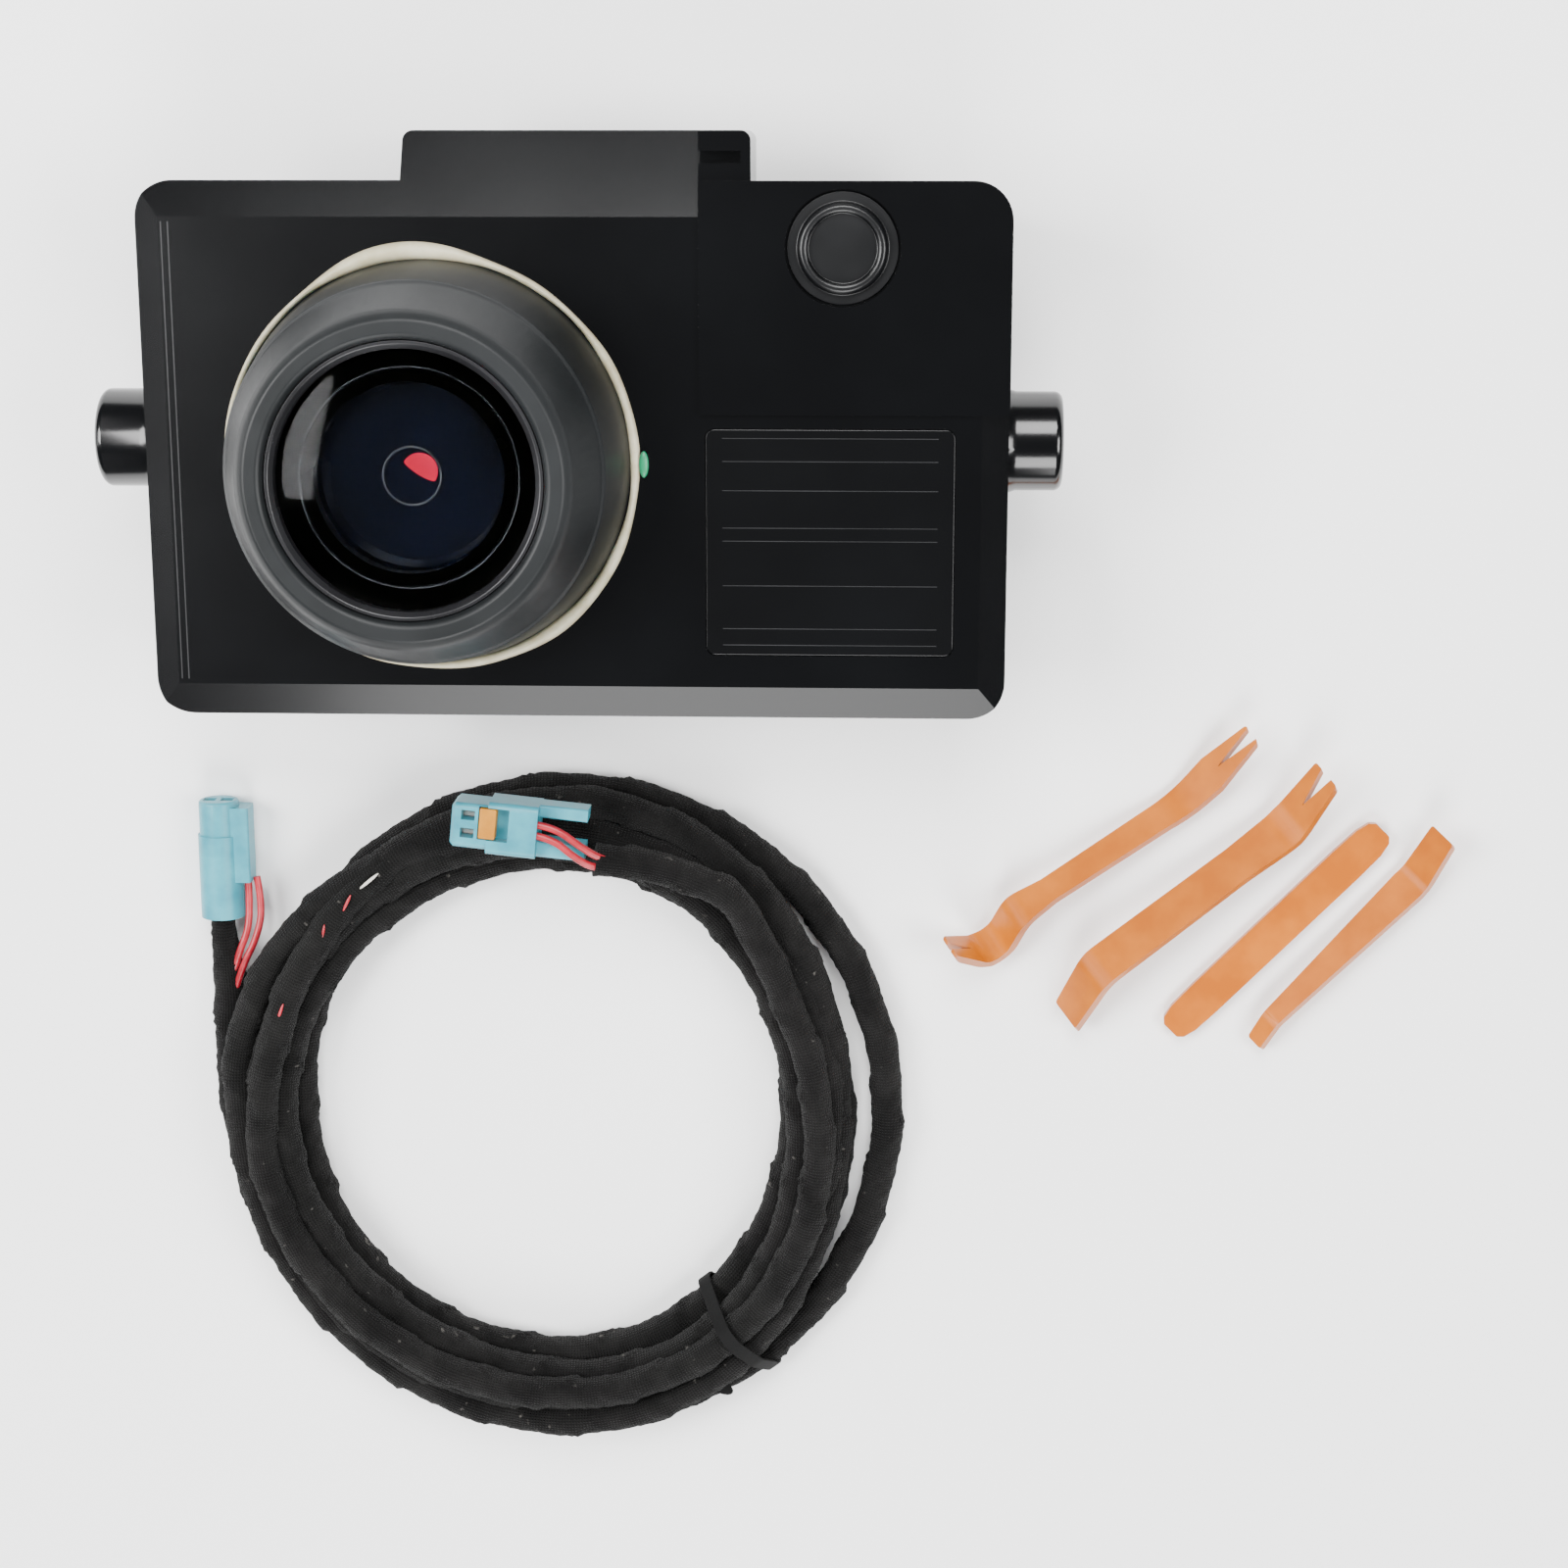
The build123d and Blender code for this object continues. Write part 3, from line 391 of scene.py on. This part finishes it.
# each node's edge width in millimetres, and its body
roundedPlan = {
    "front_housing": (0.45, "camera"), "lens_barrel": (0.35, "camera"), "light_sensor_cap": (0.25, "camera"),
    "rear_cover": (0.3, "camera"), "lens_retaining_ring": (0.12, "camera"), "socket_shell": (0.15, "camera"),
    "connector_a_housing": (0.28, "harness"), "connector_b_housing": (0.28, "harness"),
    "connector_b_lock": (0.2, "plug_lock"), "label_plate": (0.12, "camera"),
    "pry_tool_hook": (0.28, "hook_tool"), "pry_tool_fork": (0.28, "fork_tool"),
    "pry_tool_paddle": (0.3, "paddle_tool"), "pry_tool_wedge": (0.28, "wedge_tool"),
}
finished = {node: rounded(node, width, body) for node, (width, body) in roundedPlan.items()}

print("stage: lens, bead and front details")


def newPiece(name, look, body):
    piece = bpy.context.active_object
    piece.name = name
    bpy.ops.object.mode_set(mode="OBJECT")
    bpy.ops.object.transform_apply(location=True, rotation=True, scale=True)
    piece.data.materials.clear()
    piece.data.materials.append(looks[look])
    bpy.ops.object.shade_smooth_by_angle(angle=math.radians(edgePlan["newPieceAngle"]))
    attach(piece, body)
    return piece


def shapeVertices(change):
    piece = bpy.context.active_object
    bpy.ops.object.mode_set(mode="EDIT")
    mesh = bmesh.from_edit_mesh(piece.data)
    for vertex in mesh.verts:
        vertex.co = change(vertex.co)
    bmesh.update_edit_mesh(piece.data)
    bpy.ops.object.mode_set(mode="OBJECT")


lens = {
    "centre": (-20.6, -1.1),
    "front": 34.0,
    "pupil": 4.0,
    "pupilWire": 0.16,
    "pupilRise": 0.12,
    "crescentRise": 0.2,
}
beadPlan = {
    "radius": 29.55,
    "size": 0.95,
    "humps": ((1.5, 1.75, 0.32), (0.7, -0.75, 0.6)),  # height, angle and spread of each swell
    "waves": ((0.12, 5, 0), (0.08, 13, 1)),
    "width": 0.62,
    "thinLeft": (0.45, 0.8),
    "humpWidth": 0.5,
    "humpReach": 0.45,
    "sunk": 0.2,
    "height": 0.8,
    "humpHeight": 0.35,
    "around": 160,
    "across": 12,
}
innerTop = corners("inner_lens")[1].z


def makeBead(plan):
    bpy.ops.object.select_all(action="DESELECT")
    middle = plan["radius"] * mm
    place = (lens["centre"][0] * mm, lens["centre"][1] * mm, lens["front"] * mm)
    bpy.ops.mesh.primitive_torus_add(location=place, major_radius=middle, minor_radius=plan["size"] * mm,
                                     major_segments=plan["around"], minor_segments=plan["across"])

    def squeeze(point):
        angle = math.atan2(point.y, point.x)
        hump = sum(rise * math.exp(-((angle - at) / wide) ** 2) for rise, at, wide in plan["humps"])
        width = plan["width"] + plan["humpWidth"] * hump
        width += sum(rise * math.sin(count * angle + phase) for rise, count, phase in plan["waves"])
        thin, wide = plan["thinLeft"]
        width *= 1 - thin * math.exp(-((abs(angle) - math.pi) / wide) ** 2)
        reach = middle + (math.hypot(point.x, point.y) - middle) * width + plan["humpReach"] * mm * hump
        height = max(point.z, -plan["sunk"] * mm) * (plan["height"] + plan["humpHeight"] * hump)
        return Vector((reach * math.cos(angle), reach * math.sin(angle), height))

    shapeVertices(squeeze)
    bead = newPiece("sealant_bead", "cream_sealant", "camera")
    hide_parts("lens_seal_ring")


def flatRing(name, radius, size, level, look):
    bpy.ops.object.select_all(action="DESELECT")
    place = (lens["centre"][0] * mm, lens["centre"][1] * mm, level)
    bpy.ops.mesh.primitive_torus_add(location=place, major_radius=radius * mm, minor_radius=size * mm,
                                     major_segments=96, minor_segments=10)
    return newPiece(name, look, "camera")


# a flat red crescent just above the pupil: painted reflection of the lens coating, not a red part of the
# lens
crescent = {
    "radius": 2.5,
    "shift": (1.1, 0.7),
    "thick": 0.12,
    "sides": 64,
    "lean": 1.6,
    "leanLength": 1.887,
    "bite": (0.41, 0.66),
}


def makeCrescent(plan, level):
    bpy.ops.object.select_all(action="DESELECT")
    x, y = [(centre + shift) * mm for centre, shift in zip(lens["centre"], plan["shift"])]
    bpy.ops.mesh.primitive_cylinder_add(vertices=plan["sides"], radius=plan["radius"] * mm,
                                        depth=plan["thick"] * mm, location=(x, y, level),
                                        end_fill_type="NGON")

    def bite(point):
        along = (point.x + point.y * plan["lean"]) / plan["leanLength"]
        if along > 0:
            return point
        return Vector((point.x - along * plan["bite"][0], point.y - along * plan["bite"][1], point.z))

    shapeVertices(bite)
    newPiece("painted_reflection_crescent", "painted_coating_reflection", "camera")


dab = {"reach": 30.9, "rise": 0.75, "size": (0.7, 1.9, 0.45)}


def makeDab(plan):
    bpy.ops.object.select_all(action="DESELECT")
    x, y = lens["centre"]
    place = ((x + plan["reach"]) * mm, y * mm, (lens["front"] + plan["rise"]) * mm)
    bpy.ops.mesh.primitive_uv_sphere_add(segments=28, ring_count=14, radius=1.0 * mm, location=place)
    bpy.ops.transform.resize(value=plan["size"])
    newPiece("inspection_dab", "inspection_green", "camera")


rules = {
    "level": 33.97,
    "thick": 0.14,
    "middle": 37.0,
    "length": 31.0,
    "acrossWidth": 0.12,
    "uprightWidth": 0.18,
    "across": [2.6, -0.7, -4.9, -10.3, -12.2, -18.7, -25.0, -27.4],
    "upright": [(-58.2, 0.0, 66.0), (-57.2, 0.0, 66.0)],
}


def makeRule(name, x, y, width, height):
    bpy.ops.object.select_all(action="DESELECT")
    bpy.ops.mesh.primitive_cube_add(size=1.0, location=(x * mm, y * mm, rules["level"] * mm))
    bpy.ops.transform.resize(value=(width * mm, height * mm, rules["thick"] * mm))
    return newPiece(name, "rule_grey", "camera")


makeBead(beadPlan)
flatRing("pupil_ring", lens["pupil"], lens["pupilWire"], innerTop + lens["pupilRise"] * mm, "rule_grey")
# the crescent is painted reflection, set just above the pupil
makeCrescent(crescent, innerTop + lens["crescentRise"] * mm)
makeDab(dab)
for index, y in enumerate(rules["across"]):
    makeRule("label_rule_" + str(index + 1), rules["middle"], y, rules["length"], rules["acrossWidth"])
for index, (x, y, height) in enumerate(rules["upright"]):
    makeRule("front_rule_" + str(index + 1), x, y, rules["uprightWidth"], height)

print("stage: harness cable")
cable = {
    "radius": 2.75,
    "coil": (-7.0, -109.5),
    "halfX": 57.0,
    "halfY": 57.0,
    "pointsPerTurn": 24,
    "start": 184.0,
    "turns": [(3.3, 3.5), (8.7, 3.45), (13.9, 3.55), (11.9, 8.4), (7.9, 8.8), (4.5, 8.3), (9.4, 12.0)],
    "lastAngle": 44.0,
    "endGap": 0.6,  # share of a step left clear before the lead out
    "climbFrom": 0.7,  # share of a turn after which it moves on to the next
    "climbShare": 0.3,
    "gapAtRight": 7.6,
    "gapShrink": 0.2,
    "wander": 0.9,
    "sideWave": (2.3, 1.9),
    "heightWave": (3.1, 2.7),
    "heightShare": 0.5,
    "looseFrom": 3,  # turns from this one on wander freely
    "calm": 0.4,
    "pitch": 15.0,
    "seamSway": (0.03, 310),
    "ridge": 0.55,
    "ridgeMiddle": 0.45,
    "body": 0.965,  # share of the radius that the wrap's ridge is added to
    "ripple": 0.14,
    "rippleWaves": (5, 900, 2100),
    "grit": 0.035,
    "ringStep": 1.0,
    "sides": 24,
    "thinStart": 0.60,
    "flare": 17.0,
}
leadIn = [(-61.2, -72.4, 3.6), (-61.2, -78.4, 3.6), (-61.2, -84.2, 3.6), (-60.6, -90.4, 3.6),
          (-61.0, -96.6, 3.4), (-61.1, -103.0, 3.3)]
leadOut = [(22.6, -70.8, 15.2), (14.8, -66.7, 17.1), (7.4, -64.7, 18.0), (0.7, -63.5, 19.4)]


def coilPoints(plan):
    made = []
    step = 360.0 / plan["pointsPerTurn"]
    last = plan["lastAngle"] + 360.0 * len(plan["turns"])
    angle = plan["start"]
    while angle < last - step * plan["endGap"]:
        turn = (angle - plan["start"]) / 360.0
        index = min(int(turn), len(plan["turns"]) - 1)
        nextIndex = min(index + 1, len(plan["turns"]) - 1)
        share = max(0.0, (turn - index - plan["climbFrom"]) / plan["climbShare"])
        share = share * share * (3 - 2 * share)
        inset, level = [a + (b - a) * share for a, b in zip(plan["turns"][index], plan["turns"][nextIndex])]
        radians = math.radians(angle)
        right = max(0.0, math.cos(radians)) ** 2
        if turn > 1:
            inset += (plan["gapAtRight"] - plan["gapShrink"] * inset) * right * min(1.0, turn - 1)
        loose = index >= plan["looseFrom"]
        rate, shift = plan["sideWave"]
        inset += plan["wander"] * math.sin(rate * radians + index * shift) * (1.0 if loose else plan["calm"])
        rate, shift = plan["heightWave"]
        level += plan["heightShare"] * plan["wander"] * math.sin(rate * radians + index * shift) * loose
        x = plan["coil"][0] + (plan["halfX"] - inset) * math.cos(radians)
        y = plan["coil"][1] + (plan["halfY"] - inset) * math.sin(radians)
        made.append((x, y, level))
        angle += step
    return made


def routeCurve(name, points):
    curve = bpy.data.curves.new(name, "CURVE")
    curve.dimensions = "3D"
    spline = curve.splines.new("NURBS")
    spline.points.add(len(points) - 1)
    for point, place in zip(spline.points, points):
        point.co = (place[0] * mm, place[1] * mm, place[2] * mm, 1)
    spline.order_u = 3
    spline.use_endpoint_u = True
    spline.resolution_u = 6
    holder = bpy.data.objects.new(name, curve)
    bpy.context.scene.collection.objects.link(holder)
    bpy.context.view_layer.update()
    line = bpy.data.meshes.new_from_object(holder)
    path = [vertex.co.copy() for vertex in line.vertices]
    bpy.data.objects.remove(holder)
    return path


def evenly(path, step):
    made = [path[0].copy()]
    left = step
    for here, there in zip(path, path[1:]):
        run = (there - here).length
        while run > left:
            here = here + (there - here).normalized() * left
            made.append(here.copy())
            run = (there - here).length
            left = step
        left -= run
    made.append(path[-1].copy())
    return made


def tapedTube(name, path, plan):
    mesh = bmesh.new()
    layer = mesh.loops.layers.uv.new("wrap")
    sides = plan["sides"]
    radius = plan["radius"] * mm
    sway, swayRate = plan["seamSway"]
    lobes, twist, fine = plan["rippleWaves"]
    up = Vector((0, 0, 1))
    rings = []
    travel = 0.0
    travels = []
    for index, place in enumerate(path):
        before = path[max(index - 1, 0)]
        after = path[min(index + 1, len(path) - 1)]
        along = (after - before).normalized()
        across = up.cross(along).normalized()
        lift = along.cross(across)
        if index:
            travel += (place - path[index - 1]).length
        travels.append(travel)
        ring = []
        for side in range(sides):
            angle = 2 * math.pi * side / sides
            phase = travel / (plan["pitch"] * mm) + side / sides + sway * math.sin(travel * swayRate)
            phase = phase % 1.0
            step = plan["ridge"] * mm * (phase ** 3 - plan["ridgeMiddle"])
            ripple = plan["ripple"] * mm * math.sin(angle * lobes + travel * twist)
            ripple *= math.sin(travel * fine + angle)
            share = min(1.0, travel / (plan["flare"] * mm))
            share = share * share * (3 - 2 * share)
            flare = plan["thinStart"] + (1 - plan["thinStart"]) * share
            grit = random.uniform(-plan["grit"], plan["grit"]) * mm
            reach = (radius * plan["body"] + step + ripple + grit) * flare
            ring.append(mesh.verts.new(place + (across * math.cos(angle) + lift * math.sin(angle)) * reach))
        rings.append(ring)
    girth = 2 * math.pi * plan["radius"]
    for index in range(len(rings) - 1):
        for side in range(sides):
            other = (side + 1) % sides
            here, there = rings[index], rings[index + 1]
            face = mesh.faces.new((here[side], here[other], there[other], there[side]))
            spots = ((index, side), (index, side + 1), (index + 1, side + 1), (index + 1, side))
            for loop, (ringIndex, sideIndex) in zip(face.loops, spots):
                loop[layer].uv = (travels[ringIndex] / mm, sideIndex / sides * girth)
            face.smooth = True
    mesh.faces.new(rings[0][::-1])
    mesh.faces.new(rings[-1])
    bmesh.ops.recalc_face_normals(mesh, faces=mesh.faces)
    data = bpy.data.meshes.new(name)
    mesh.to_mesh(data)
    mesh.free()
    piece = bpy.data.objects.new(name, data)
    bpy.context.scene.collection.objects.link(piece)
    data.materials.append(looks["cloth_tape"])
    return piece


routePoints = leadIn + coilPoints(cable) + leadOut
cablePath = evenly(routeCurve("cableRoute", routePoints), cable["ringStep"] * mm)
cableLength = sum((b - a).length for a, b in zip(cablePath, cablePath[1:]))
print("cable length", round(cableLength, 3))
cablePiece = tapedTube("harness_cable", cablePath, cable)
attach(cablePiece, "harness")
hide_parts("harness_coil", "harness_tail_a", "harness_tail_b")

print("stage: plug wires")
plugFrames = {"a": ((-61.2, -58.5, 3.6), 90.0), "b": ((-21.0, -57.6, 19.0), 174.0)}
wireRadius = 0.58
# points along, across and above each plug's own axis
wireRoutes = {
    "connector_a_wires": ("a", [
        [(-12.6, -4.3, 0.4), (-16.5, -4.4, 0.5), (-21.0, -4.3, 1.5),
         (-25.0, -2.6, 1.9), (-30.0, -0.9, 0.8)],
        [(-12.6, -5.7, 0.4), (-17.5, -6.6, 0.7), (-22.5, -5.6, 1.9),
         (-27.0, -3.2, 2.1), (-32.5, -1.2, 0.8)],
    ]),
    "connector_b_wires": ("b", [
        [(-12.9, -1.2, 2.6), (-15.8, -1.1, 2.7), (-20.0, 1.4, 2.8),
         (-23.5, 3.3, 2.2), (-28.0, 4.1, 0.2)],
        [(-12.9, 0.5, 2.6), (-15.8, 0.8, 2.7), (-19.2, 3.2, 2.8),
         (-22.8, 5.0, 2.0), (-28.0, 4.7, -0.4)],
    ]),
}


def plugPoint(plug, along, across, up):
    origin, heading = plugFrames[plug]
    turn = math.radians(heading)
    x = origin[0] + along * math.cos(turn) - across * math.sin(turn)
    y = origin[1] + along * math.sin(turn) + across * math.cos(turn)
    return x, y, origin[2] + up


def makeWires(node, plug, routes):
    curve = bpy.data.curves.new(node + "_bent", "CURVE")
    curve.dimensions = "3D"
    curve.bevel_depth = wireRadius * mm
    curve.bevel_resolution = 5
    curve.use_fill_caps = True
    for route in routes:
        spline = curve.splines.new("NURBS")
        spline.points.add(len(route) - 1)
        for point, place in zip(spline.points, route):
            x, y, z = plugPoint(plug, *place)
            point.co = (x * mm, y * mm, z * mm, 1)
        spline.order_u = 3
        spline.use_endpoint_u = True
        spline.resolution_u = 8
    holder = bpy.data.objects.new(node + "_bent", curve)
    bpy.context.scene.collection.objects.link(holder)
    selectOnly(holder)
    bpy.ops.object.convert(target="MESH")
    piece = newPiece(node + "_bent", "wire_red", "harness")
    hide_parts(node)
    return piece


wirePieces = {node: makeWires(node, plug, routes) for node, (plug, routes) in wireRoutes.items()}

print("stage: tie and slivers")
tie = {
    "angle": -52.0,
    "width": 2.2,
    "rows": (-0.5, -0.2, 0.2, 0.5),
    "thick": 0.35,
    "clear": 0.2,
    "near": 1.6,
    "lowest": 0.0006,  # metres, as is the next
    "reachFrom": 0.03,
    "sides": 20,
}


def hull(points):
    points = sorted(set(points))

    def half(ordered):
        made = []
        for point in ordered:
            while len(made) > 1:
                (ax, ay), (bx, by) = made[-2], made[-1]
                if (bx - ax) * (point[1] - ay) - (by - ay) * (point[0] - ax) > 0:
                    break
                made.pop()
            made.append(point)
        return made[:-1]

    return half(points) + half(points[::-1])


def makeTie(plan):
    turn = math.radians(plan["angle"])
    outward = Vector((math.cos(turn), math.sin(turn), 0))
    along = Vector((-math.sin(turn), math.cos(turn), 0))
    centre = Vector((cable["coil"][0], cable["coil"][1], 0)) * mm
    circles = []
    for place in cablePath:
        reach = (place - centre).dot(outward)
        if reach > plan["reachFrom"] and abs((place - centre).dot(along)) < plan["near"] * mm:
            for step in range(plan["sides"]):
                angle = 2 * math.pi * step / plan["sides"]
                size = (cable["radius"] + plan["clear"]) * mm
                spot = (reach + size * math.cos(angle), place.z + size * math.sin(angle))
                circles.append((round(spot[0], 6), round(spot[1], 6)))
    loop = hull(circles)
    mesh = bmesh.new()
    rows = []
    for share in plan["rows"]:
        offset = centre + along * share * plan["width"] * mm
        row = []
        for reach, level in loop:
            height = Vector((0, 0, max(level, plan["lowest"])))
            row.append(mesh.verts.new(offset + outward * reach + height))
        rows.append(row)
    for first, second in zip(rows, rows[1:]):
        for index in range(len(loop)):
            other = (index + 1) % len(loop)
            mesh.faces.new((first[index], first[other], second[other], second[index]))
    bmesh.ops.recalc_face_normals(mesh, faces=mesh.faces)
    data = bpy.data.meshes.new("tape_tie")
    mesh.to_mesh(data)
    mesh.free()
    piece = bpy.data.objects.new("tape_tie", data)
    bpy.context.scene.collection.objects.link(piece)
    selectOnly(piece)
    wall = piece.modifiers.new("wall", "SOLIDIFY")
    wall.thickness = plan["thick"] * mm
    wall.offset = 1.0
    bpy.ops.object.modifier_apply(modifier="wall")
    made = newPiece("tape_tie", "tie_black", "harness")
    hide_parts("coil_tie")
    return made


sliverFit = {"near": 2.0, "sunk": 0.05}


def topOfCable(x, y):
    gaps = [math.hypot(place.x - x * mm, place.y - y * mm) for place in cablePath]
    near = [place for place, gap in zip(cablePath, gaps) if gap < min(gaps) + sliverFit["near"] * mm]
    return max(near, key=lambda place: place.z)


slivers = {
    "red_sliver_1": {"at": (-40.9, -70.5), "turn": 64, "size": (1.5, 0.24, 0.2), "look": "wire_red"},
    "red_sliver_2": {"at": (-41.8, -76.5), "turn": 80, "size": (1.2, 0.22, 0.2), "look": "wire_red"},
    "red_sliver_3": {"at": (-47.6, -90.0), "turn": 70, "size": (1.6, 0.24, 0.2), "look": "wire_red"},
    "pale_sliver": {"at": (-37.0, -65.5), "turn": 40, "size": (2.0, 0.26, 0.2), "look": "pale_backing"},
    "tape_flap": {"at": (24.5, -160.5), "turn": -30, "size": (3.0, 1.3, 0.3), "look": "tie_black"},
}


def makeSliver(name, plan):
    place = topOfCable(*plan["at"])
    bpy.ops.object.select_all(action="DESELECT")
    level = place.z + (cable["radius"] - sliverFit["sunk"]) * mm
    bpy.ops.mesh.primitive_uv_sphere_add(segments=20, ring_count=10, radius=1.0 * mm,
                                         location=(place.x, place.y, level))
    bpy.ops.transform.resize(value=plan["size"])
    piece = bpy.context.active_object
    piece.rotation_euler = (0, 0, math.radians(plan["turn"]))
    return newPiece(name, plan["look"], "harness")


tiePiece = makeTie(tie)
for name, plan in slivers.items():
    makeSliver(name, plan)
